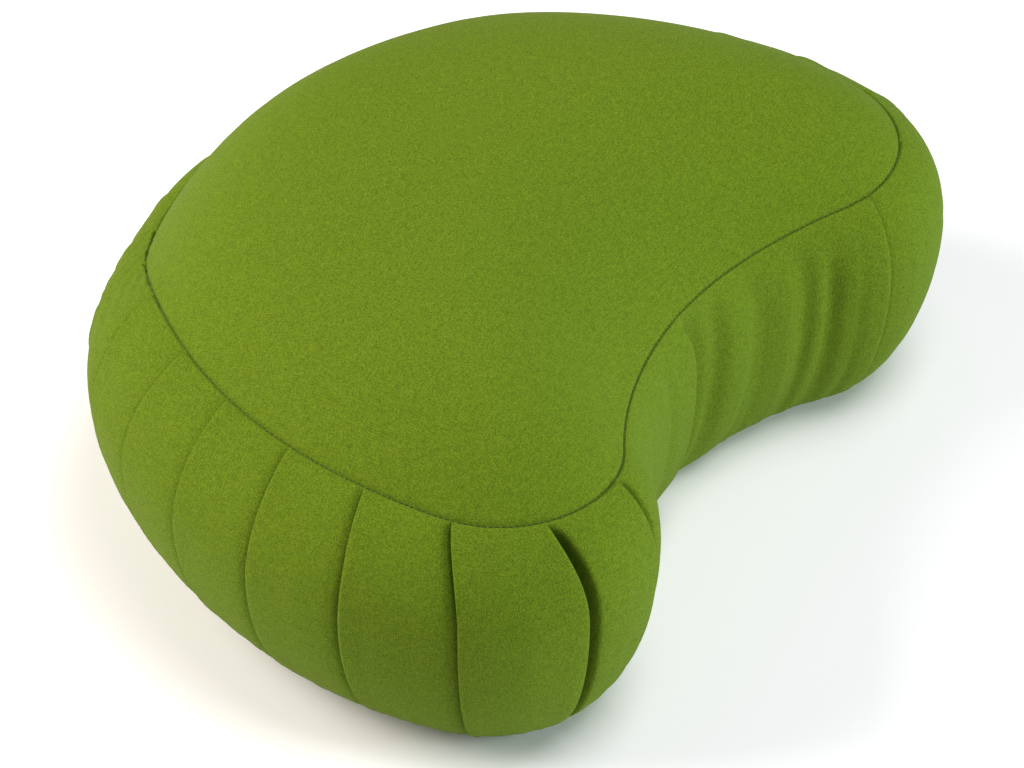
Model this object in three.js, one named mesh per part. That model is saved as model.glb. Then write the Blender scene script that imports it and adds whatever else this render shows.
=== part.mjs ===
// Crescent meditation cushion: a filled cotton cover on a kidney-shaped plan, with a crowned top panel,
// a pleated side band and a flat base. Millimetres, +Z up. The two horns lie along X, the notch faces -Y,
// and the cushion stands on Z = 0 with the origin under the middle of its box.
import * as THREE from "three";

// Half of the top seam as arcs, from the middle of the back round one horn to the middle of the notch.
// turn is how far the arc swings the seam's heading, in degrees. The notch arc swings it back to straight,
// and its radius is the one that closes the outline. bulge is how far the band swells out past the seam,
// and seamHeight is how high the seam lies over the floor.
const STRETCHES = [
  { name: "back", radius: 151, turn: 39, bulge: 13, seamHeight: 101 },
  { name: "side", radius: 236, turn: 58.5, bulge: 35, seamHeight: 134 },
  { name: "horn", radius: 54, turn: 114, bulge: 22, seamHeight: 131 },
  { name: "notch", bulge: 7, seamHeight: 123 },
];
const BLEND_REACH = 80; // bulge and seam height pass from one stretch to the next over this far each way
const BLEND_STEPS = 20;

// Heights and swell of the filled body
const CROWN_HEIGHT = 176; // highest point of the top panel
const CROWN_REACH = 88; // smoothed distance from the seam at which the crown is full
const CROWN_ROUNDNESS = 2.2; // 1 is a straight slope up from the seam, more is rounder
const EQUATOR_HEIGHT = 86; // where the band swells out furthest
const SEAM_ANGLE = 60; // degrees of an ellipse between the equator and the top seam
const BASE_INSET = 21; // how far the flat base stays inside the top seam's outline

// Knife pleats round the back, sides and horns, a row for each. at is measured along the top seam from the
// middle of the back, towards +X. lap is the side of the pleat whose panel lies on top, tuck is how deep the
// panel under it dives, and lean is how far the fold has drifted along the seam by LEAN_DONE down the band.
const PLEATS = [
  { at: 20, lap: 1, tuck: 2.4, lean: 3 },
  { at: 58, lap: 1, tuck: 2.6, lean: 5 },
  { at: 97, lap: 1, tuck: 2.4, lean: 6 },
  { at: 139, lap: 1, tuck: 2.8, lean: 8 },
  { at: 182, lap: 1, tuck: 2.5, lean: 7 },
  { at: 224, lap: 1, tuck: 3.0, lean: 7 },
  { at: 266, lap: 1, tuck: 2.8, lean: 6 },
  { at: 308, lap: 1, tuck: 3.2, lean: 7 },
  { at: 350, lap: 1, tuck: 2.8, lean: 7 },
  { at: 392, lap: 1, tuck: 2.2, lean: 5 },
  { at: 436, lap: 1, tuck: 1.8, lean: 0 },
  { at: -429, lap: 1, tuck: 5.0, lean: -1 },
  { at: -387, lap: 1, tuck: 8.5, lean: -7 },
  { at: -348, lap: -1, tuck: 4.2, lean: -8 },
  { at: -307, lap: -1, tuck: 3.6, lean: -7 },
  { at: -266, lap: -1, tuck: 3.2, lean: -6 },
  { at: -224, lap: -1, tuck: 2.4, lean: -6 },
  { at: -186, lap: -1, tuck: 2.0, lean: -5 },
  { at: -137, lap: -1, tuck: 2.8, lean: -18 },
  { at: -97, lap: -1, tuck: 2.4, lean: -10 },
  { at: -58, lap: -1, tuck: 2.6, lean: -6 },
  { at: -20, lap: -1, tuck: 2.2, lean: -3 },
];
const LEAN_DONE = 0.35;
const LIP = 1.6; // how far the edge of a panel on top stands proud
const PUFF = 1.8; // how far a panel swells between its two pleats
const TURN_IN = 19; // how far from a pleat an edge begins to rise or dive
const STEP_WIDTH = 0.7; // half the width of the step at a pleat
const HOLD = 0.7; // below 1 the seams hold the pleats flat only close by

// Soft troughs where the unpleated band is squeezed together in the notch, a row for each. top and bottom
// are shares of the way down the band, and each trough fades out over WRINKLE_FADE.
const WRINKLES = [
  { at: 447, lean: 4, width: 6, depth: 1.2, top: 0.4, bottom: 0.95 },
  { at: 459, lean: 3, width: 5.5, depth: 3.0, top: 0.25, bottom: 0.95 },
  { at: 482, lean: -6, width: 6, depth: 2.6, top: 0.15, bottom: 0.9 },
  { at: 515, lean: -10, width: 7, depth: 2.0, top: 0.1, bottom: 0.85 },
  { at: 539, lean: -4, width: 6.5, depth: 3.4, top: 0.06, bottom: 0.95 },
  { at: -549, lean: -10, width: 7, depth: 5.6, top: 0.05, bottom: 0.95 },
  { at: -517, lean: -12, width: 5.5, depth: 1.4, top: 0.2, bottom: 0.95 },
  { at: -470, lean: 6, width: 10, depth: 1.0, top: 0.2, bottom: 0.85 },
];
const WRINKLE_FADE = 0.15;

// Mesh stations: shares of the way across a pleated panel, down the band, and out from the panel's middle
const PANEL_SHARES = [0, 0.1, 0.26, 0.5, 0.74, 0.9, 1];
const BAND_SHARES = [0, 0.05, 0.12, 0.2, 0.29, 0.38, 0.48, 0.58, 0.68, 0.78, 0.88, 1];
const RING_SHARES = [0.22, 0.44, 0.64, 0.8, 0.91, 0.97];
const NOTCH_STEP = 5.2;
const SEAM_SAMPLE = 3;
const SLOPE_PROBE = 0.01;
const EQUATOR_SHARE = 0.45; // how far down the band the equator lies
const BODY_CENTRE = new THREE.Vector2(0, 0);

const COVER = new THREE.MeshStandardMaterial({ color: 0x73922a, roughness: 0.95, metalness: 0 });

const radians = THREE.MathUtils.degToRad;
const clamp = THREE.MathUtils.clamp;
const smoothstep = THREE.MathUtils.smoothstep;

// The arcs of the half outline, each with its start, its centre and the seam length before it
function seamArcs() {
  const arcs = [];
  let x = 0;
  let y = 0;
  let heading = 0;
  let start = 0;
  for (const { radius, turn, ...row } of STRETCHES) {
    const closing = radius === undefined;
    const swing = closing ? Math.PI - heading : radians(turn);
    const bend = closing ? x / Math.sin(heading) : radius;
    const length = Math.abs(bend * swing);
    arcs.push({ ...row, bend, heading, start, length, x, y });
    x += bend * (Math.sin(heading + swing) - Math.sin(heading));
    y += bend * (Math.cos(heading + swing) - Math.cos(heading));
    heading += swing;
    start += length;
  }
  return arcs;
}

const ARCS = seamArcs();
const HALF_SEAM = ARCS.at(-1).start + ARCS.at(-1).length;
const SEAM_LENGTH = 2 * HALF_SEAM;
const SEAM_DEPTH = -ARCS.at(-1).y;

// The distance from the middle of the back, either way, of a place on the seam
function distanceFromBack(place) {
  const wrapped = THREE.MathUtils.euclideanModulo(place, SEAM_LENGTH);
  return Math.min(wrapped, SEAM_LENGTH - wrapped);
}

function arcAt(distance) {
  return ARCS.findLast((arc) => distance >= arc.start) ?? ARCS[0];
}

// A stretch's value in one column, eased over from its neighbours
function blended(column, place) {
  let sum = 0;
  let weights = 0;
  for (let i = -BLEND_STEPS; i <= BLEND_STEPS; i += 1) {
    const weight = 1 + Math.cos((Math.PI * i) / (BLEND_STEPS + 1));
    sum += weight * arcAt(distanceFromBack(place + (BLEND_REACH * i) / BLEND_STEPS))[column];
    weights += weight;
  }
  return sum / weights;
}

// The seam at a place: plan position, outward normal, height and the band's bulge there
function seamAt(place) {
  const wrapped = THREE.MathUtils.euclideanModulo(place, SEAM_LENGTH);
  const side = wrapped <= HALF_SEAM ? 1 : -1;
  const distance = distanceFromBack(place);
  const arc = arcAt(distance);
  const heading = arc.heading + (distance - arc.start) / arc.bend;
  const x = arc.x + arc.bend * (Math.sin(heading) - Math.sin(arc.heading));
  const y = arc.y + arc.bend * (Math.cos(heading) - Math.cos(arc.heading)) + SEAM_DEPTH / 2;
  return {
    position: new THREE.Vector2(side * x, y),
    normal: new THREE.Vector2(side * Math.sin(heading), Math.cos(heading)),
    height: blended("seamHeight", place),
    bulge: blended("bulge", place),
  };
}

// The band's plain section: how far out from the seam and how high it lies, a share of the way down
function bandSection(seam, share) {
  if (share <= EQUATOR_SHARE) {
    const top = radians(SEAM_ANGLE);
    const angle = top * (1 - share / EQUATOR_SHARE);
    const out = (seam.bulge * (Math.cos(angle) - Math.cos(top))) / (1 - Math.cos(top));
    const rise = ((seam.height - EQUATOR_HEIGHT) * Math.sin(angle)) / Math.sin(top);
    return new THREE.Vector2(out, EQUATOR_HEIGHT + rise);
  }
  const angle = ((Math.PI / 2) * (share - EQUATOR_SHARE)) / (1 - EQUATOR_SHARE);
  const out = -BASE_INSET + (seam.bulge + BASE_INSET) * Math.cos(angle);
  return new THREE.Vector2(out, EQUATOR_HEIGHT * (1 - Math.sin(angle)));
}

// The pleats in order round the seam, and the panels between them
function pleatedPanels() {
  const pleats = PLEATS.map((row) => ({
    ...row,
    place: THREE.MathUtils.euclideanModulo(row.at, SEAM_LENGTH),
  })).sort((a, b) => a.place - b.place);
  return pleats.map((first, i) => {
    const last = pleats[(i + 1) % pleats.length];
    const end = last.place + (last.place > first.place ? 0 : SEAM_LENGTH);
    return { first, last, start: first.place, width: end - first.place };
  });
}

// How far a panel stands out of the plain section because of its pleats
function panelLift(panel, share) {
  const edge = (pleat, onTop, across) => {
    const height = onTop ? LIP : -pleat.tuck;
    const along = clamp(1 - across / TURN_IN, 0, 1);
    return height * along * along;
  };
  const fromFirst = share * panel.width;
  const fromLast = panel.width - fromFirst;
  const crest = 1 - (2 * clamp(share, 0, 1) - 1) ** 4;
  return (
    edge(panel.first, panel.first.lap > 0, fromFirst) +
    edge(panel.last, panel.last.lap < 0, fromLast) +
    PUFF * crest
  );
}

// How far a fold has drifted along the seam, a share of the way down the band
function leaned(lean, down) {
  return lean * smoothstep(down, 0, LEAN_DONE);
}

// How deep the notch's wrinkles lie at a place, a share of the way down the band
function wrinkleDepth(place, down) {
  let depth = 0;
  for (const wrinkle of WRINKLES) {
    const at = wrinkle.at + leaned(wrinkle.lean, down);
    const gap = THREE.MathUtils.euclideanModulo(place - at + HALF_SEAM, SEAM_LENGTH) - HALF_SEAM;
    const shown =
      smoothstep(down, wrinkle.top - WRINKLE_FADE, wrinkle.top + WRINKLE_FADE) *
      (1 - smoothstep(down, wrinkle.bottom - WRINKLE_FADE, wrinkle.bottom + WRINKLE_FADE));
    depth += wrinkle.depth * shown * Math.exp(-((gap / wrinkle.width) ** 2));
  }
  return depth;
}

// The columns of the band: the place of each on the seam, its lean and its lift out of the plain section
function bandColumns() {
  const columns = [];
  for (const panel of pleatedPanels()) {
    const isNotch = panel.start < HALF_SEAM && panel.start + panel.width > HALF_SEAM;
    const steps = Math.round(panel.width / NOTCH_STEP);
    const shares = isNotch ? Array.from({ length: steps + 1 }, (_, i) => i / steps) : PANEL_SHARES;
    for (const share of shares) {
      const inset = STEP_WIDTH * (1 - 2 * share);
      const place = panel.start + share * panel.width + inset;
      const lean = THREE.MathUtils.lerp(panel.first.lean, panel.last.lean, share);
      columns.push({ place, lean, lift: panelLift(panel, share) });
    }
  }
  return columns;
}

// A point of the band, lifted along its outward normal and never below the floor
function bandPoint({ place, lean, lift }, down) {
  const leaning = place + leaned(lean, down);
  const seam = seamAt(leaning);
  const section = bandSection(seam, down);
  const before = bandSection(seam, Math.max(down - SLOPE_PROBE, 0));
  const after = bandSection(seam, Math.min(down + SLOPE_PROBE, 1));
  const normal = new THREE.Vector2(before.y - after.y, after.x - before.x).normalize();
  const held = Math.sin(Math.PI * clamp(down, 0, 1)) ** HOLD;
  const out = (lift - wrinkleDepth(leaning, down)) * held;
  const plan = seam.position.clone().addScaledVector(seam.normal, section.x + out * normal.x);
  return new THREE.Vector3(plan.x, plan.y, section.y + out * Math.max(normal.y, 0));
}

// The top panel's height: it climbs from the seam to the crown by a distance that is smoothed over the whole
// seam, so that the crown has no ridges
function crownHeight(point, samples) {
  let nearness = 0;
  let heights = 0;
  for (const seam of samples) {
    const weight = SEAM_SAMPLE / point.distanceTo(seam.position) ** 3;
    nearness += weight;
    heights += weight * seam.height;
  }
  const foot = heights / nearness;
  const climbed = clamp(1 / Math.sqrt(nearness / 2) / CROWN_REACH, 0, 1);
  return foot + (CROWN_HEIGHT - foot) * (1 - (1 - climbed) ** CROWN_ROUNDNESS);
}

// The rings of the whole body from the crown's middle down to the base's edge
function bodyRings(columns) {
  const count = Math.round(SEAM_LENGTH / SEAM_SAMPLE);
  const samples = Array.from({ length: count }, (_, i) => seamAt((i * SEAM_LENGTH) / count));
  const lift = (plan) => new THREE.Vector3(plan.x, plan.y, crownHeight(plan, samples));
  const onPanel = (share) =>
    columns.map(({ place }) => lift(BODY_CENTRE.clone().lerp(seamAt(place).position, share)));
  const onBand = (down) => columns.map((column) => bandPoint(column, down));
  return {
    crown: lift(BODY_CENTRE),
    rings: [...RING_SHARES.map(onPanel), ...BAND_SHARES.map(onBand)],
    base: new THREE.Vector3(BODY_CENTRE.x, BODY_CENTRE.y, 0),
  };
}

// A closed surface through rings of equal count, with a point at each end
function closedSurface({ crown, rings, base }) {
  const points = [crown, ...rings.flat(), base];
  const count = rings[0].length;
  const last = points.length - 1;
  const at = (ring, column) => 1 + ring * count + (column % count);
  const faces = [];
  for (let column = 0; column < count; column += 1) {
    faces.push(0, at(0, column + 1), at(0, column));
    for (let ring = 0; ring < rings.length - 1; ring += 1) {
      const [a, b] = [at(ring, column), at(ring, column + 1)];
      const [c, d] = [at(ring + 1, column), at(ring + 1, column + 1)];
      faces.push(a, b, d, a, d, c);
    }
    faces.push(at(rings.length - 1, column), at(rings.length - 1, column + 1), last);
  }
  const geometry = new THREE.BufferGeometry().setFromPoints(points);
  geometry.setIndex(faces);
  geometry.computeVertexNormals();
  return geometry;
}

function cushionMesh() {
  const geometry = closedSurface(bodyRings(bandColumns()));
  geometry.computeBoundingBox();
  const middle = geometry.boundingBox.getCenter(new THREE.Vector3());
  geometry.translate(-middle.x, -middle.y, 0);
  const mesh = new THREE.Mesh(geometry, COVER);
  mesh.name = "cushion";
  return mesh;
}

const crescentCushion = new THREE.Group();
crescentCushion.add(cushionMesh());

export default crescentCushion;
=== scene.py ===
import math
from collections import namedtuple

import bpy
import numpy as np
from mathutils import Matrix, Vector
from mathutils.kdtree import KDTree


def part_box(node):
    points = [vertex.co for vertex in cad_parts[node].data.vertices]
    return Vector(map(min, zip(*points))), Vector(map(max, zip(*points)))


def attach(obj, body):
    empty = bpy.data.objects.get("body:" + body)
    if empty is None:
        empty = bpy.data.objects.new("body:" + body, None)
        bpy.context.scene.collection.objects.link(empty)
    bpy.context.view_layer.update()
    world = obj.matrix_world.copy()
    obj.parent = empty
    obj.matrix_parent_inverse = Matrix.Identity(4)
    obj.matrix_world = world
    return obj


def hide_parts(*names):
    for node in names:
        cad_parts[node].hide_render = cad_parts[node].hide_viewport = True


# Crescent meditation cushion in green cotton: the sewn cover with its knife pleats, its stitched seam,
# a pale floor and soft studio light. Metres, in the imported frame.
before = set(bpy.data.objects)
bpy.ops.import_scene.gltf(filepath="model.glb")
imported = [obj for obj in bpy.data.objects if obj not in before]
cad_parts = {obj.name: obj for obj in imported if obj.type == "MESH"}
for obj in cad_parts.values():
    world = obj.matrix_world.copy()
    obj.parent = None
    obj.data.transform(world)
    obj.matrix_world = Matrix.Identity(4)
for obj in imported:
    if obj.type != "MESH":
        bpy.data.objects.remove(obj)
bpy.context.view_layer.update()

# Half of the top seam as arcs, from the middle of the back round one horn to the middle of the notch.
# turn swings the seam's heading, in degrees; the notch's radius is the one that closes the outline.
Stretch = namedtuple("Stretch", "name radius turn bulge seam_height")
STRETCHES = [
    Stretch("back", 0.151, 39, 0.013, 0.101),
    Stretch("side", 0.236, 58.5, 0.035, 0.134),
    Stretch("horn", 0.054, 114, 0.022, 0.131),
    Stretch("notch", None, None, 0.007, 0.123),
]
BLEND_REACH = 0.080  # bulge and seam height pass from one stretch to the next over this far each way
BLEND_STEPS = 20

# Heights and swell of the filled body
CROWN_HEIGHT = 0.176
CROWN_REACH = 0.088
CROWN_ROUNDNESS = 2.2
EQUATOR_HEIGHT = 0.086
EQUATOR_SHARE = 0.45  # how far down the band the equator lies
SEAM_ANGLE = math.radians(60)
BASE_INSET = 0.021

# Knife pleats, a row for each. at is measured along the top seam from the middle of the back, towards +X.
# lap is the side whose panel lies on top, tuck is how deep the panel under it dives, lip is how far the fold
# on top stands proud, gap is how far the two stand apart, and lean is how far the fold drifts along the seam.
Pleat = namedtuple("Pleat", "at lap tuck lip gap lean")
PLEATS = [
    Pleat(0.020, 1, 0.0024, 0.0009, 0.0003, 0.003),
    Pleat(0.058, 1, 0.0026, 0.0009, 0.0003, 0.005),
    Pleat(0.097, 1, 0.0024, 0.0008, 0.0002, 0.006),
    Pleat(0.139, 1, 0.0028, 0.0009, 0.0003, 0.008),
    Pleat(0.182, 1, 0.0025, 0.0009, 0.0002, 0.007),
    Pleat(0.224, 1, 0.0028, 0.0010, 0.0003, 0.007),
    Pleat(0.266, 1, 0.0026, 0.0009, 0.0003, 0.006),
    Pleat(0.308, 1, 0.0028, 0.0010, 0.0003, 0.007),
    Pleat(0.350, 1, 0.0024, 0.0009, 0.0002, 0.007),
    Pleat(0.392, 1, 0.0016, 0.0007, 0.0000, 0.005),
    Pleat(0.436, 1, 0.0015, 0.0007, 0.0000, 0.000),
    Pleat(-0.429, 1, 0.0080, 0.0012, 0.0022, -0.001),
    Pleat(-0.387, 1, 0.0120, 0.0012, 0.0026, -0.008),
    Pleat(-0.348, -1, 0.0040, 0.0009, 0.0008, -0.008),
    Pleat(-0.307, -1, 0.0030, 0.0009, 0.0004, -0.007),
    Pleat(-0.266, -1, 0.0026, 0.0009, 0.0003, -0.006),
    Pleat(-0.224, -1, 0.0018, 0.0008, 0.0000, -0.006),
    Pleat(-0.186, -1, 0.0016, 0.0007, 0.0000, -0.005),
    Pleat(-0.137, -1, 0.0022, 0.0008, 0.0002, -0.018),
    Pleat(-0.097, -1, 0.0022, 0.0008, 0.0002, -0.010),
    Pleat(-0.058, -1, 0.0024, 0.0009, 0.0003, -0.006),
    Pleat(-0.020, -1, 0.0022, 0.0008, 0.0003, -0.003),
]

# The section across one fold, from the panel underneath to the panel on top. flat is where the cloth lies
# at the seam, fold is where it lies lower down, and tuck, lip and gap are shares of the pleat's own sizes.
FoldStep = namedtuple("FoldStep", "flat fold tuck lip gap")
FOLD = [
    FoldStep(-0.0085, -0.0085, 0.00, 0.00, 0.00),
    FoldStep(-0.0062, -0.0062, 0.01, 0.00, 0.10),
    FoldStep(-0.0046, -0.0046, 0.04, 0.00, 0.30),
    FoldStep(-0.0033, -0.0033, 0.11, 0.00, 0.55),
    FoldStep(-0.0022, -0.0021, 0.24, 0.00, 0.80),
    FoldStep(-0.0014, -0.0011, 0.44, 0.00, 0.95),
    FoldStep(-0.0009, 0.0001, 0.70, 0.00, 1.00),
    FoldStep(-0.0005, 0.0015, 0.93, 0.00, 0.90),
    FoldStep(-0.0003, 0.0025, 1.00, 0.00, 0.60),
    FoldStep(-0.0001, 0.0028, 0.88, 0.00, 0.20),
    FoldStep(0.0001, 0.0023, 0.72, 0.00, 0.00),
    FoldStep(0.0002, 0.0013, 0.50, 0.00, 0.00),
    FoldStep(0.0003, 0.0005, 0.26, 0.00, 0.00),
    FoldStep(0.0004, 0.0001, 0.06, 0.15, 0.00),
    FoldStep(0.0005, 0.0000, 0.00, 0.52, 0.00),
    FoldStep(0.0007, 0.0003, 0.00, 0.84, 0.00),
    FoldStep(0.0010, 0.0008, 0.00, 0.98, 0.00),
    FoldStep(0.0015, 0.0014, 0.00, 1.00, 0.00),
    FoldStep(0.0026, 0.0026, 0.00, 0.90, 0.00),
    FoldStep(0.0044, 0.0044, 0.00, 0.66, 0.00),
    FoldStep(0.0068, 0.0068, 0.00, 0.34, 0.00),
    FoldStep(0.0096, 0.0096, 0.00, 0.08, 0.00),
]
FOLD_SETTLE = 0.025  # share of the band over which a fold opens below the seam
TUCK_OPENS = 9.0  # share of the band over which a tuck opens, for each metre of its depth
LEAN_DONE = 0.40  # share of the band by which a fold has drifted all its way
CLOSING_FROM = 0.7  # share of the band from which a pleat closes again
CLOSED_SHARE = 0.75
UNFOLDS_FROM = 0.95
LEVEL_FROM = 0.93  # share of the band from which all relief fades into the base
HELD_POWER = 0.7
SWELL = 0.0010  # how far the filling swells the band out of its plain section
PUFF = 0.0006  # swell of a panel between its pleats

# Troughs where the plain band is squeezed together in the notch. before and after are the widths on either
# side, so a short one is a sharp flank; top and bottom are shares of the way down the band.
Wrinkle = namedtuple("Wrinkle", "at lean before after depth top bottom")
WRINKLES = [
    Wrinkle(0.447, 0.004, 0.006, 0.005, 0.0012, 0.40, 0.95),
    Wrinkle(0.459, 0.003, 0.005, 0.006, 0.0030, 0.25, 0.95),
    Wrinkle(0.482, -0.006, 0.006, 0.006, 0.0026, 0.15, 0.90),
    Wrinkle(0.515, -0.010, 0.008, 0.006, 0.0020, 0.10, 0.85),
    Wrinkle(0.537, -0.004, 0.006, 0.007, 0.0036, 0.10, 0.95),
    Wrinkle(-0.549, -0.010, 0.013, 0.0016, 0.0085, 0.06, 0.95),
    Wrinkle(-0.517, -0.012, 0.004, 0.004, 0.0012, 0.20, 0.95),
    Wrinkle(-0.500, 0.006, 0.004, 0.004, 0.0008, 0.30, 0.95),
    Wrinkle(-0.470, 0.006, 0.010, 0.010, 0.0010, 0.20, 0.85),
]
WRINKLE_FADE = 0.14

# Small gathers where the band is drawn in to the base seam: waves round the cushion, with their phases
GATHERS = [(71, 0.4), (103, 2.1), (131, 4.4), (167, 1.3)]
GATHER_HEIGHT = 0.00025
GATHER_FROM = 0.40

# The sewn seam
GROOVE_DEPTH = 0.0010
GROOVE_WIDTH = 0.0007
ROLL_AT = 2.6 * GROOVE_WIDTH  # the cloth rises again in a low roll beside the groove
ROLL_WIDTH = 1.6 * GROOVE_WIDTH
ROLL_HEIGHT = 0.16
STITCH_PITCH = 0.0027
STITCH_LENGTH = 0.0019
STITCH_RADIUS = 0.00022
STITCH_SINK = 0.45 * GROOVE_DEPTH
STITCH_SIDES = 6
STITCH_PROFILE = [(-0.5, 0.35), (-0.38, 0.8), (0.0, 1.0), (0.38, 0.8), (0.5, 0.35)]  # along, girth

# How the filling presses the cover out
SETTLE_VOXEL = 0.006
SETTLE_FRAMES = 20
SETTLE_PRESSURE = 40.0
SETTLE_MASS = 0.02
SETTLE_STIFFNESS = 15.0
SETTLE_QUALITY = 3
SETTLE_CAP = 0.004  # the furthest that a point may move
SETTLE_SMOOTHING = 3
SETTLE_NEIGHBOURS = 4
NEIGHBOUR_SOFTENING = 0.001
SEWN_REACH = 0.007  # how far from a seam or a pleat the cloth is still held
SEWN_LIP = 0.0006
BASE_HELD = 0.010

# Mesh stations
BAND_FINE = [0, 0.003, 0.007, 0.013, 0.021, 0.032, 0.046, 0.062]
BAND_ROWS = 46
TOP_INSETS = [0.0004, 0.0009, 0.0016, 0.0027, 0.0043, 0.0065]
TOP_EDGE_RUN = 1.35 * TOP_INSETS[-1]  # how far in from the seam the crown's own curve begins
TOP_SHARES = [0.97, 0.93, 0.885, 0.835, 0.78, 0.72, 0.655, 0.585, 0.51, 0.435, 0.36, 0.285, 0.215, 0.15, 0.09]
BASE_SHARES = [0.985, 0.95, 0.88, 0.76, 0.6, 0.42, 0.25, 0.1]
HALVINGS = {0.51: 1, 0.435: 1, 0.42: 1, 0.36: 1, 0.285: 2, 0.25: 2, 0.215: 2, 0.15: 3, 0.1: 3, 0.09: 3}
PANEL_STEP = 0.0032
NOTCH_STEP = 0.0019
SEAM_SAMPLE = 0.003
SLOPE_PROBE = 0.01


def smoothstep(value, low, high):
    t = np.clip((value - low) / (high - low), 0, 1)
    return t * t * (3 - 2 * t)


# The plan of the seam

def seam_arcs():
    """The arcs of half the seam as arrays, each with its start, heading and values."""
    rows = []
    x = y = heading = start = 0.0
    for stretch in STRETCHES:
        closing = stretch.radius is None
        swing = math.pi - heading if closing else math.radians(stretch.turn)
        bend = x / math.sin(heading) if closing else stretch.radius
        length = abs(bend * swing)
        rows.append((x, y, heading, start, length, bend, stretch.bulge, stretch.seam_height))
        x += bend * (math.sin(heading + swing) - math.sin(heading))
        y += bend * (math.cos(heading + swing) - math.cos(heading))
        heading += swing
        start += length
    names = ("x", "y", "heading", "start", "length", "bend", "bulge", "height")
    return dict(zip(names, np.array(rows).T))


ARCS = seam_arcs()
HALF_SEAM = ARCS["start"][-1] + ARCS["length"][-1]
SEAM_LENGTH = 2 * HALF_SEAM
SEAM_DEPTH = -ARCS["y"][-1]


def distance_from_back(place):
    wrapped = np.mod(place, SEAM_LENGTH)
    return np.minimum(wrapped, SEAM_LENGTH - wrapped)


def arc_index(distance):
    return np.searchsorted(ARCS["start"], distance, side="right") - 1


def blended(column, place):
    """A stretch's value, eased over from its neighbours."""
    total = weights = 0.0
    for i in range(-BLEND_STEPS, BLEND_STEPS + 1):
        weight = 1 + math.cos(math.pi * i / (BLEND_STEPS + 1))
        near = distance_from_back(place + BLEND_REACH * i / BLEND_STEPS)
        total = total + weight * ARCS[column][arc_index(near)]
        weights += weight
    return total / weights


def seam_plan(place):
    """Plan position and outward normal of places on the seam."""
    side = np.where(np.mod(place, SEAM_LENGTH) <= HALF_SEAM, 1.0, -1.0)
    distance = distance_from_back(place)
    arc = {name: values[arc_index(distance)] for name, values in ARCS.items()}
    heading = arc["heading"] + (distance - arc["start"]) / arc["bend"]
    x = arc["x"] + arc["bend"] * (np.sin(heading) - np.sin(arc["heading"]))
    y = arc["y"] + arc["bend"] * (np.cos(heading) - np.cos(arc["heading"])) + SEAM_DEPTH / 2
    position = np.stack([side * x, y], -1)
    normal = np.stack([side * np.sin(heading), np.cos(heading)], -1)
    return position, normal


# The band

def band_section(bulge, height, down):
    """How far out from the seam and how high the plain band lies, a share of the way down."""
    angle = SEAM_ANGLE * (1 - np.minimum(down, EQUATOR_SHARE) / EQUATOR_SHARE)
    upper_out = bulge * (np.cos(angle) - math.cos(SEAM_ANGLE)) / (1 - math.cos(SEAM_ANGLE))
    upper_z = EQUATOR_HEIGHT + (height - EQUATOR_HEIGHT) * np.sin(angle) / math.sin(SEAM_ANGLE)
    under = math.pi / 2 * (np.maximum(down, EQUATOR_SHARE) - EQUATOR_SHARE) / (1 - EQUATOR_SHARE)
    lower_out = -BASE_INSET + (bulge + BASE_INSET) * np.cos(under)
    lower_z = EQUATOR_HEIGHT * (1 - np.sin(under))
    upper = down <= EQUATOR_SHARE
    return np.where(upper, upper_out, lower_out), np.where(upper, upper_z, lower_z)


def band_points(place, down, lift):
    """Points of the band, lifted along its outward normal and never below the floor."""
    position, normal = seam_plan(place)
    bulge = blended("bulge", place)
    height = blended("height", place)
    out, z = band_section(bulge, height, down)
    out_before, z_before = band_section(bulge, height, np.maximum(down - SLOPE_PROBE, 0))
    out_after, z_after = band_section(bulge, height, np.minimum(down + SLOPE_PROBE, 1))
    run = z_before - z_after
    rise = out_after - out_before
    slope = np.hypot(run, rise)
    out = out + lift * run / slope
    z = z + lift * np.maximum(rise / slope, 0)
    plan = position + normal * out[..., None]
    return np.concatenate([plan, z[..., None]], -1)


def wrapped_gap(place, at):
    return np.mod(place - at + HALF_SEAM, SEAM_LENGTH) - HALF_SEAM


def wrinkle_depth(place, down):
    depth = 0.0
    for wrinkle in WRINKLES:
        gap = wrapped_gap(place, wrinkle.at + leaned(wrinkle.lean, down))
        width = np.where(gap < 0, wrinkle.before, wrinkle.after)
        shown = smoothstep(down, wrinkle.top - WRINKLE_FADE, wrinkle.top + WRINKLE_FADE)
        gone = smoothstep(down, wrinkle.bottom - WRINKLE_FADE, wrinkle.bottom + WRINKLE_FADE)
        depth = depth + wrinkle.depth * shown * (1 - gone) * np.exp(-((gap / width) ** 2))
    return depth


def gathers(place, down):
    turn = 2 * math.pi * place / SEAM_LENGTH
    waves = sum(np.sin(count * turn + phase) for count, phase in GATHERS)
    return GATHER_HEIGHT * waves * smoothstep(down, GATHER_FROM, 1)


def leaned(lean, down):
    """How far a fold has drifted along the seam, a share of the way down the band."""
    return lean * np.sin(math.pi / 2 * np.minimum(down / LEAN_DONE, 1))


def seam_groove(distance):
    """How far the cloth near the seam is pulled down by the stitching."""
    roll = np.exp(-(((distance - ROLL_AT) / ROLL_WIDTH) ** 2))
    return GROOVE_DEPTH * (np.exp(-((distance / GROOVE_WIDTH) ** 2)) - ROLL_HEIGHT * roll)


def sorted_pleats():
    return sorted((pleat.at % SEAM_LENGTH, pleat) for pleat in PLEATS)


def fold_columns(place, pleat):
    """The columns across one pleat, in order round the seam."""
    columns = [
        (place + pleat.lap * step.flat, place + pleat.lap * step.fold, pleat.tuck * step.tuck,
         pleat.lip * step.lip, pleat.lap * pleat.gap * step.gap, pleat.tuck * TUCK_OPENS)
        for step in FOLD
    ]
    return columns[::pleat.lap]


def plain_columns(first, last, count):
    places = np.linspace(first, last, count + 1)[1:-1]
    return [(place, place, 0.0, 0.0, 0.0, 1.0) for place in places]


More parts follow.
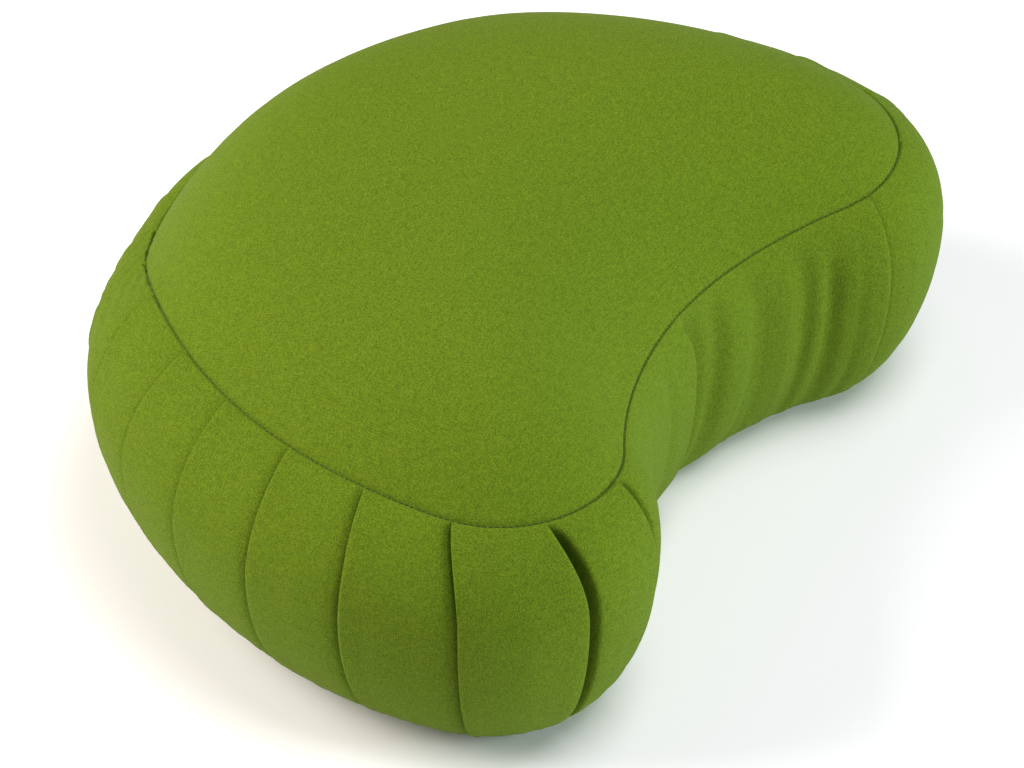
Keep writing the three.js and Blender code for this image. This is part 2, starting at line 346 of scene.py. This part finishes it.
def cover_columns():
    """The columns of the cover round the seam, as arrays: where each lies flat, and how it folds."""
    pleats = sorted_pleats()
    folds = [fold_columns(place, pleat) for place, pleat in pleats]
    firsts = [fold[-1][0] for fold in folds]
    lasts = [fold[0][0] for fold in folds[1:]] + [folds[0][0][0] + SEAM_LENGTH]
    in_notch = [first < HALF_SEAM < last for first, last in zip(firsts, lasts)]
    counts = [round((last - first) / (NOTCH_STEP if notch else PANEL_STEP))
              for first, last, notch in zip(firsts, lasts, in_notch)]
    total = sum(len(fold) for fold in folds) + sum(counts) - len(counts)
    counts[in_notch.index(True)] += -total % 2 ** max(HALVINGS.values())
    rows = []
    for panel, (fold, first, last, count) in enumerate(zip(folds, firsts, lasts, counts)):
        rows += [(*row, panel) for row in fold + plain_columns(first, last, count)]
    columns = dict(zip(("flat", "fold", "tuck", "lip", "gap", "opens", "panel"), np.array(rows).T))
    places = np.array([place for place, _ in pleats])
    leans = np.array([pleat.lean for _, pleat in pleats])
    columns["lean"] = np.interp(columns["flat"], places, leans, period=SEAM_LENGTH)
    ends = np.append(places, places[0] + SEAM_LENGTH)
    panel = np.clip(np.searchsorted(ends, columns["flat"], side="right"), 1, len(places))
    across = np.clip((columns["flat"] - ends[panel - 1]) / (ends[panel] - ends[panel - 1]), 0, 1)
    columns["crest"] = 1 - (2 * across - 1) ** 4
    return columns


def band_grid(columns):
    """Points of the band by row and column, and the shares down the band."""
    rest = np.linspace(BAND_FINE[-1], 1, BAND_ROWS)[1:]
    down = np.concatenate([BAND_FINE, rest])[:, None]
    settled = smoothstep(down, 0, FOLD_SETTLE)
    closing = 1 - CLOSED_SHARE * smoothstep(down, CLOSING_FROM, 1)
    opened = smoothstep(down, 0, columns["opens"]) * closing
    flat = columns["flat"]
    lateral = flat + (columns["fold"] - flat) * settled * (1 - smoothstep(down, UNFOLDS_FROM, 1))
    place = lateral - columns["gap"] * opened + leaned(columns["lean"], down)
    held = np.sin(math.pi * np.clip(down, 0, 1)) ** HELD_POWER
    relief = SWELL + PUFF * columns["crest"] - wrinkle_depth(place, down) + gathers(place, down)
    lift = columns["lip"] * settled * closing - columns["tuck"] * opened + relief * held
    lift = lift * (1 - smoothstep(down, LEVEL_FROM, 1))
    points = band_points(place, down, lift)
    along = np.linalg.norm(np.diff(points, axis=0, prepend=points[:1]), axis=-1).cumsum(0)
    points[..., 2] -= seam_groove(along)
    return points, along


# The top and base panels

def crown_heights(plan, seam_position, seam_height):
    """The top panel climbs by a distance that is smoothed over the whole seam, so that it has no ridges."""
    gap = np.linalg.norm(plan[:, None] - seam_position[None], axis=-1)
    weight = SEAM_SAMPLE / gap ** 3
    nearness = weight.sum(1)
    foot = (weight * seam_height).sum(1) / nearness
    climbed = np.clip(1 / np.sqrt(nearness / 2) / CROWN_REACH, 0, 1)
    return foot + (CROWN_HEIGHT - foot) * (1 - (1 - climbed) ** CROWN_ROUNDNESS)


def thinned(ring, share):
    return ring[:: 2 ** HALVINGS.get(share, 0)]


def top_rings(columns):
    """Rings of the top panel from just inside the seam to near its middle, and the middle point."""
    count = round(SEAM_LENGTH / SEAM_SAMPLE)
    samples = np.arange(count) * SEAM_LENGTH / count
    seam_position = seam_plan(samples)[0]
    seam_height = blended("height", samples)
    edge = seam_plan(columns["flat"])[0]
    edge_height = blended("height", columns["flat"])
    reach = np.linalg.norm(edge, axis=-1, keepdims=True)
    inner = edge * (1 - TOP_EDGE_RUN / reach)
    inner_height = crown_heights(inner, seam_position, seam_height)
    rings = []
    for inset in TOP_INSETS:
        share = inset / TOP_EDGE_RUN
        plan = edge + (inner - edge) * share
        z = edge_height + (inner_height - edge_height) * share - seam_groove(inset)
        rings.append(np.concatenate([plan, z[:, None]], -1))
    for share in TOP_SHARES:
        plan = thinned(inner, share) * share
        z = crown_heights(plan, seam_position, seam_height)
        rings.append(np.concatenate([plan, z[:, None]], -1))
    middle = np.append(np.zeros(2), crown_heights(np.zeros((1, 2)), seam_position, seam_height))
    return rings, middle


def base_rings(contact):
    rings = [thinned(contact, share) * (share, share, 0) for share in BASE_SHARES]
    return rings, np.zeros(3)


def ring_faces(outer, inner):
    """Faces between two rings of vertex numbers, where the inner ring has as many columns or half as many."""
    n = len(inner)
    if len(outer) == n:
        return [(outer[i], outer[(i + 1) % n], inner[(i + 1) % n], inner[i]) for i in range(n)]
    faces = []
    for i in range(n):
        a, b, c = outer[2 * i], outer[2 * i + 1], outer[(2 * i + 2) % len(outer)]
        d, e = inner[i], inner[(i + 1) % n]
        faces += [(a, b, d), (b, e, d), (b, c, e)]
    return faces


def panel_faces(edge, rings, middle):
    """Faces of a panel from its edge through its rings to its middle vertex."""
    faces = []
    for outer, inner in zip([edge] + rings[:-1], rings):
        faces += ring_faces(outer, inner)
    last = rings[-1]
    return faces + [(last[i], last[(i + 1) % len(last)], middle) for i in range(len(last))]


# Threads lie straight in each panel, so the weave's coordinates are lengths along the cloth

def band_weave(points, along, columns):
    """Lengths along the cloth: round the band from the middle of each panel, and down from the seam."""
    step = np.linalg.norm(np.diff(points, axis=1, prepend=points[:, :1]), axis=-1)
    round_band = step.cumsum(1)
    weave = np.empty(points.shape[:2] + (2,))
    for panel in np.unique(columns["panel"]):
        own = np.flatnonzero(columns["panel"] == panel)
        from_middle = round_band[:, own] - round_band[:, own[len(own) // 2], None]
        weave[:, own, 0] = from_middle + columns["flat"][own].mean()
    weave[..., 1] = along
    return weave


def cover_mesh():
    """The closed cover as vertices, faces, a panel number for each face, and weave coordinates by panel."""
    columns = cover_columns()
    band, along = band_grid(columns)
    rows, count = band.shape[:2]
    top, crown = top_rings(columns)
    base, floor_middle = base_rings(band[-1])
    blocks = [band.reshape(-1, 3), *top, crown[None], *base, floor_middle[None]]
    starts = np.cumsum([0] + [len(block) for block in blocks])
    vertices = np.concatenate(blocks)
    numbers = [np.arange(len(block)) + start for block, start in zip(blocks, starts)]
    grid = numbers[0].reshape(rows, count)
    band_faces = [face for upper, lower in zip(grid[:-1], grid[1:]) for face in ring_faces(upper, lower)]
    under_top = panel_faces(grid[0], numbers[1:1 + len(top)], numbers[1 + len(top)][0])
    top_faces = [face[::-1] for face in under_top]
    base_faces = panel_faces(grid[-1], numbers[2 + len(top):-1], numbers[-1][0])
    faces = top_faces + band_faces + base_faces
    panel = [0] * len(top_faces) + [1] * len(band_faces) + [2] * len(base_faces)
    flat_weave = vertices[:, :2]
    band_uv = np.zeros_like(flat_weave)
    band_uv[: rows * count] = band_weave(band, along, columns).reshape(-1, 2)
    return vertices, faces, np.array(panel), [flat_weave, band_uv, flat_weave]


def mesh_object(name, vertices, faces):
    mesh = bpy.data.meshes.new(name)
    mesh.from_pydata([tuple(v) for v in vertices], [], [tuple(int(i) for i in face) for face in faces])
    mesh.update()
    mesh.polygons.foreach_set("use_smooth", [True] * len(mesh.polygons))
    piece = bpy.data.objects.new(name, mesh)
    bpy.context.scene.collection.objects.link(piece)
    return piece


def make_cover(centre):
    vertices, faces, panel, weaves = cover_mesh()
    cover = mesh_object("cover", vertices - centre, faces)
    uv = cover.data.uv_layers.new(name="weave")
    corner_vertex = np.array([i for face in faces for i in face])
    corner_panel = np.repeat(panel, [len(face) for face in faces])
    coordinates = np.stack(weaves)[corner_panel, corner_vertex]
    uv.data.foreach_set("uv", coordinates.astype(np.float32).ravel())
    return cover


def make_stitches(centre):
    """Short stitches that show in the seam's groove, joined into one mesh."""
    count = round(SEAM_LENGTH / STITCH_PITCH)
    places = np.arange(count) * SEAM_LENGTH / count
    vertices = []
    faces = []
    for place in places:
        spot, normal = seam_plan(np.array(place))
        ahead = seam_plan(np.array(place + STITCH_LENGTH))[0] - spot
        along = Vector((*ahead, 0)).normalized()
        across = Vector((*normal, 0))
        height = float(blended("height", np.array(place))) - STITCH_SINK
        middle = Vector((*spot, height))
        first = len(vertices)
        for share, girth in STITCH_PROFILE:
            for k in range(STITCH_SIDES):
                angle = 2 * math.pi * k / STITCH_SIDES
                ring = (across * math.cos(angle) + Vector((0, 0, math.sin(angle)))) * STITCH_RADIUS * girth
                vertices.append(middle + along * share * STITCH_LENGTH + ring)
        for r in range(len(STITCH_PROFILE) - 1):
            for k in range(STITCH_SIDES):
                a = first + r * STITCH_SIDES + k
                b = first + r * STITCH_SIDES + (k + 1) % STITCH_SIDES
                faces.append((a, b, b + STITCH_SIDES, a + STITCH_SIDES))
        faces.append([first + k for k in reversed(range(STITCH_SIDES))])
        faces.append([first + (len(STITCH_PROFILE) - 1) * STITCH_SIDES + k for k in range(STITCH_SIDES)])
    return mesh_object("seam_stitches", [v - Vector(centre) for v in vertices], faces)


# The filling presses the cover out in a cloth simulation on an even, coarser copy, which is held where it is
# sewn: along both seams, along the pleats and under the base

def mesh_points(mesh):
    points = np.empty(3 * len(mesh.vertices))
    mesh.vertices.foreach_get("co", points)
    return points.reshape(-1, 3)


def point_tree(points):
    tree = KDTree(len(points))
    for i, point in enumerate(points):
        tree.insert(point, i)
    tree.balance()
    return tree


def sewn_points(centre):
    columns = cover_columns()
    band = band_grid(columns)[0]
    folds = band[:, columns["lip"] > SEWN_LIP].reshape(-1, 3)
    return np.concatenate([band[0], band[-1], folds]) - centre


def settling_copy(cover):
    """An even, coarser copy of the cover."""
    source = bpy.data.objects.new("settling_source", cover.data)
    bpy.context.scene.collection.objects.link(source)
    remesh = source.modifiers.new("even", "REMESH")
    remesh.mode = "VOXEL"
    remesh.voxel_size = SETTLE_VOXEL
    graph = bpy.context.evaluated_depsgraph_get()
    mesh = bpy.data.meshes.new_from_object(source.evaluated_get(graph))
    bpy.data.objects.remove(source)
    copy = bpy.data.objects.new("settling", mesh)
    bpy.context.scene.collection.objects.link(copy)
    return copy


def press_out(copy, centre):
    """Run the simulation on the copy and return where its points end up."""
    sewn = point_tree(sewn_points(centre))
    group = copy.vertex_groups.new(name="sewn")
    for i, point in enumerate(mesh_points(copy.data)):
        gap = sewn.find(point)[2]
        held = 1 - smoothstep(gap, 0.3 * SEWN_REACH, SEWN_REACH)
        group.add([i], 1.0 if point[2] < BASE_HELD else float(held), "REPLACE")
    cloth = copy.modifiers.new("filling", "CLOTH")
    cloth.settings.quality = SETTLE_QUALITY
    cloth.collision_settings.use_collision = False
    cloth.settings.mass = SETTLE_MASS
    cloth.settings.tension_stiffness = SETTLE_STIFFNESS
    cloth.settings.compression_stiffness = SETTLE_STIFFNESS
    cloth.settings.vertex_group_mass = "sewn"
    cloth.settings.use_pressure = True
    cloth.settings.uniform_pressure_force = SETTLE_PRESSURE
    cloth.settings.effector_weights.gravity = 0
    cloth.point_cache.frame_start = 1
    cloth.point_cache.frame_end = SETTLE_FRAMES
    for number in range(1, SETTLE_FRAMES + 1):
        bpy.context.scene.frame_set(number)
    graph = bpy.context.evaluated_depsgraph_get()
    pressed = bpy.data.meshes.new_from_object(copy.evaluated_get(graph))
    points = mesh_points(pressed)
    bpy.data.meshes.remove(pressed)
    bpy.context.scene.frame_set(1)
    return points


def smoothed(moves, mesh):
    """Moves evened out between neighbours, and held to the cap."""
    edges = np.empty(2 * len(mesh.edges), dtype=np.int64)
    mesh.edges.foreach_get("vertices", edges)
    ends = np.concatenate([edges.reshape(-1, 2), edges.reshape(-1, 2)[:, ::-1]])
    neighbours = np.bincount(ends[:, 0], minlength=len(moves))[:, None]
    for _ in range(SETTLE_SMOOTHING):
        total = np.zeros_like(moves)
        np.add.at(total, ends[:, 0], moves[ends[:, 1]])
        moves = 0.5 * moves + 0.5 * total / neighbours
    size = np.linalg.norm(moves, axis=1, keepdims=True)
    return moves * np.minimum(1, SETTLE_CAP / np.maximum(size, 1e-9))


def settle(cover, centre):
    """Press the cover out by the filling, and leave no simulation behind."""
    copy = settling_copy(cover)
    start = mesh_points(copy.data)
    moves = smoothed(press_out(copy, centre) - start, copy.data)
    tree = point_tree(start)
    points = mesh_points(cover.data)
    for point in points:
        near = tree.find_n(point, SETTLE_NEIGHBOURS)
        weights = np.array([1 / (gap + NEIGHBOUR_SOFTENING) ** 2 for _, _, gap in near])
        point += weights @ moves[[i for _, i, _ in near]] / weights.sum()
    points[:, 2] = np.maximum(points[:, 2], 0)
    cover.data.vertices.foreach_set("co", points.ravel())
    cover.data.update()
    mesh = copy.data
    bpy.data.objects.remove(copy)
    bpy.data.meshes.remove(mesh)


# Materials

class Nodes:
    """A short way to add nodes to a material and link them."""

    def __init__(self, material):
        material.use_nodes = True
        self.tree = material.node_tree
        self.shader = self.tree.nodes["Principled BSDF"]

    def add(self, kind, settings=None, **inputs):
        node = self.tree.nodes.new(kind)
        for name, value in (settings or {}).items():
            setattr(node, name, value)
        for name, value in inputs.items():
            self.plug(node.inputs[int(name[1:])] if name[1:].isdigit() else node.inputs[name], value)
        return node

    def plug(self, socket, value):
        if isinstance(value, bpy.types.NodeSocket):
            self.tree.links.new(value, socket)
        else:
            socket.default_value = value

    def math(self, operation, first, second=0.0):
        return self.add("ShaderNodeMath", {"operation": operation}, i0=first, i1=second).outputs[0]

    def scaled(self, vector, scale):
        node = self.add("ShaderNodeVectorMath", {"operation": "MULTIPLY"}, i0=vector, i1=scale)
        return node.outputs[0]

    def noise(self, vector, scale, detail=2.0, roughness=0.5):
        node = self.add("ShaderNodeTexNoise", Vector=vector, Scale=scale, Detail=detail, Roughness=roughness)
        return node.outputs["Fac"]

    def ramp(self, factor, dark, light):
        node = self.add("ShaderNodeMix", {"data_type": "RGBA"})
        self.plug(node.inputs["Factor"], factor)
        self.plug(node.inputs[6], dark)
        self.plug(node.inputs[7], light)
        return node.outputs[2]


THREAD_PITCH = 0.0010
SLUB_FINE = 1100
SLUB_LONG = 220
GRAIN_SCALE = 1700.0
PATCH_SCALE = 16.0
PLY_SCALE = 2600.0
COTTON_DARK = (0.058, 0.101, 0.0030, 1)
COTTON_LIGHT = (0.122, 0.190, 0.0084, 1)
# Thread colours, darker than the cloth: real thread whose dark colour also paints the seam groove's shade as
# dark dashes
SEAM_SHADE_THREAD_DARK = (0.022, 0.040, 0.002, 1)
SEAM_SHADE_THREAD_LIGHT = (0.050, 0.082, 0.005, 1)
FLOOR_WHITE = (0.90, 0.90, 0.92, 1)
FLOOR_HALF = 12.0


def cotton_material():
    material = bpy.data.materials.new("green_cotton")
    nodes = Nodes(material)
    uv = nodes.add("ShaderNodeUVMap", {"uv_map": "weave"}).outputs["UV"]
    threads = nodes.scaled(uv, (1 / THREAD_PITCH, 1 / THREAD_PITCH, 0))
    split = nodes.add("ShaderNodeSeparateXYZ", Vector=threads)
    warp = nodes.math("ABSOLUTE", nodes.math("SINE", nodes.math("MULTIPLY", split.outputs["X"], math.pi)))
    weft = nodes.math("ABSOLUTE", nodes.math("SINE", nodes.math("MULTIPLY", split.outputs["Y"], math.pi)))
    over = nodes.add("ShaderNodeTexChecker", Vector=threads, Scale=1.0).outputs["Fac"]
    inverse = nodes.math("SUBTRACT", 1.0, over)
    weave = nodes.math("ADD", nodes.math("MULTIPLY", warp, over), nodes.math("MULTIPLY", weft, inverse))
    slub_warp = nodes.noise(nodes.scaled(uv, (SLUB_FINE, SLUB_LONG, 0)), 1.0)
    slub_weft = nodes.noise(nodes.scaled(uv, (SLUB_LONG, SLUB_FINE, 0)), 1.0)
    slubs = nodes.math("ADD", slub_warp, slub_weft)
    place = nodes.add("ShaderNodeTexCoord").outputs["Object"]
    patches = nodes.noise(place, PATCH_SCALE, 3.0)
    grain = nodes.noise(place, GRAIN_SCALE, 0.0)
    tone = nodes.math("ADD", nodes.math("MULTIPLY", slubs, 0.30), nodes.math("MULTIPLY", weave, 0.15))
    tone = nodes.math("ADD", tone, nodes.math("MULTIPLY", patches, 0.06))
    tone = nodes.math("ADD", tone, nodes.math("MULTIPLY", grain, 1.00))
    factor = nodes.add("ShaderNodeMapRange", Value=tone)
    factor.inputs["From Min"].default_value = 0.68
    factor.inputs["From Max"].default_value = 1.16
    nodes.plug(nodes.shader.inputs["Base Color"], nodes.ramp(factor.outputs[0], COTTON_DARK, COTTON_LIGHT))
    relief = nodes.math("ADD", nodes.math("MULTIPLY", weave, 0.6), nodes.math("MULTIPLY", slubs, 0.7))
    bump = nodes.add("ShaderNodeBump", Height=relief, Strength=0.35, Distance=0.00025)
    nodes.plug(nodes.shader.inputs["Normal"], bump.outputs["Normal"])
    nodes.shader.inputs["Roughness"].default_value = 0.92
    nodes.shader.inputs["Specular IOR Level"].default_value = 0.10
    nodes.shader.inputs["Sheen Weight"].default_value = 0.06
    nodes.shader.inputs["Sheen Roughness"].default_value = 0.5
    nodes.shader.inputs["Sheen Tint"].default_value = (0.62, 0.85, 0.20, 1)
    return material


# The stitches' thread: a real thread, coloured darker than the cloth so that it also paints the shade in the
# seam
def thread_and_seam_shade_material():
    material = bpy.data.materials.new("green_thread_and_painted_seam_shade")
    nodes = Nodes(material)
    place = nodes.add("ShaderNodeTexCoord").outputs["Object"]
    ply = nodes.noise(place, PLY_SCALE, 1.0)
    nodes.plug(nodes.shader.inputs["Base Color"], nodes.ramp(ply, SEAM_SHADE_THREAD_DARK, SEAM_SHADE_THREAD_LIGHT))
    nodes.shader.inputs["Roughness"].default_value = 0.8
    return material


# Stage, light and camera

LIGHT_TARGET = Vector((0, 0, 0.1))


def make_floor():
    corners = [(x * FLOOR_HALF, y * FLOOR_HALF, 0) for x, y in ((-1, -1), (1, -1), (1, 1), (-1, 1))]
    floor = mesh_object("floor", corners, [(0, 1, 2, 3)])
    material = bpy.data.materials.new("white_floor")
    nodes = Nodes(material)
    nodes.shader.inputs["Base Color"].default_value = FLOOR_WHITE
    nodes.shader.inputs["Roughness"].default_value = 0.9
    nodes.shader.inputs["Specular IOR Level"].default_value = 0.0
    floor.data.materials.append(material)


def make_light(name, location, size, power, colour):
    """A square softbox aimed at the middle of the cushion, out of the camera's sight."""
    light = bpy.data.lights.new(name, "AREA")
    light.shape = "SQUARE"
    light.size = size
    light.energy = power
    light.color = colour
    lamp = bpy.data.objects.new(name, light)
    lamp.location = location
    lamp.rotation_euler = (LIGHT_TARGET - Vector(location)).to_track_quat("-Z", "Y").to_euler()
    lamp.visible_camera = False
    bpy.context.scene.collection.objects.link(lamp)


def make_world(strength):
    world = bpy.data.worlds.new("studio")
    world.use_nodes = True
    background = world.node_tree.nodes["Background"]
    background.inputs["Color"].default_value = (1, 1, 1, 1)
    background.inputs["Strength"].default_value = strength
    bpy.context.scene.world = world


# The view, measured from the middle of the seam's plan
VIEW_AZIMUTH = math.radians(-58.24)
VIEW_ELEVATION = math.radians(40.13)
VIEW_DISTANCE = 1.700
VIEW_TARGET = Vector((-0.0297, -0.0450, 0.070))
FOCAL_PIXELS = 3721.6
IMAGE_WIDTH = 1024
SENSOR_WIDTH = 36.0


def view_back():
    flat = math.cos(VIEW_ELEVATION)
    return Vector((math.sin(VIEW_AZIMUTH) * flat, -math.cos(VIEW_AZIMUTH) * flat, math.sin(VIEW_ELEVATION)))


def make_camera(centre):
    data = bpy.data.cameras.new("camera")
    data.sensor_fit = "HORIZONTAL"
    data.sensor_width = SENSOR_WIDTH
    data.lens = FOCAL_PIXELS * SENSOR_WIDTH / IMAGE_WIDTH
    camera = bpy.data.objects.new("camera", data)
    camera.location = VIEW_TARGET - Vector(centre) + view_back() * VIEW_DISTANCE
    camera.rotation_euler = view_back().to_track_quat("Z", "Y").to_euler()
    bpy.context.scene.collection.objects.link(camera)
    bpy.context.scene.camera = camera


def main():
    solid_low, solid_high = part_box("cushion")
    vertices = cover_mesh()[0]
    centre = (vertices.min(0) + vertices.max(0)) / 2 - np.array((solid_low + solid_high) / 2)
    centre[2] = 0
    make_camera(centre)

    cover = make_cover(centre)
    settle(cover, centre)
    cover.data.materials.append(cotton_material())
    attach(cover, "root")
    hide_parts("cushion")

    stitches = make_stitches(centre)
    # The stitches' dark thread colour is partly painted seam shade
    stitches.data.materials.append(thread_and_seam_shade_material())
    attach(stitches, "root")

    make_floor()
    make_world(0.18)
    make_light("left_softbox", (-0.90, 1.45, 1.20), 1.3, 62, (1.0, 0.92, 0.84))
    make_light("right_softbox", (1.02, -2.82, 0.75), 1.5, 86, (0.86, 1.0, 0.98))
    make_light("top_softbox", (0.11, -0.75, 2.20), 1.3, 36, (1.0, 0.96, 0.98))
    bpy.context.scene.view_settings.view_transform = "Standard"


main()
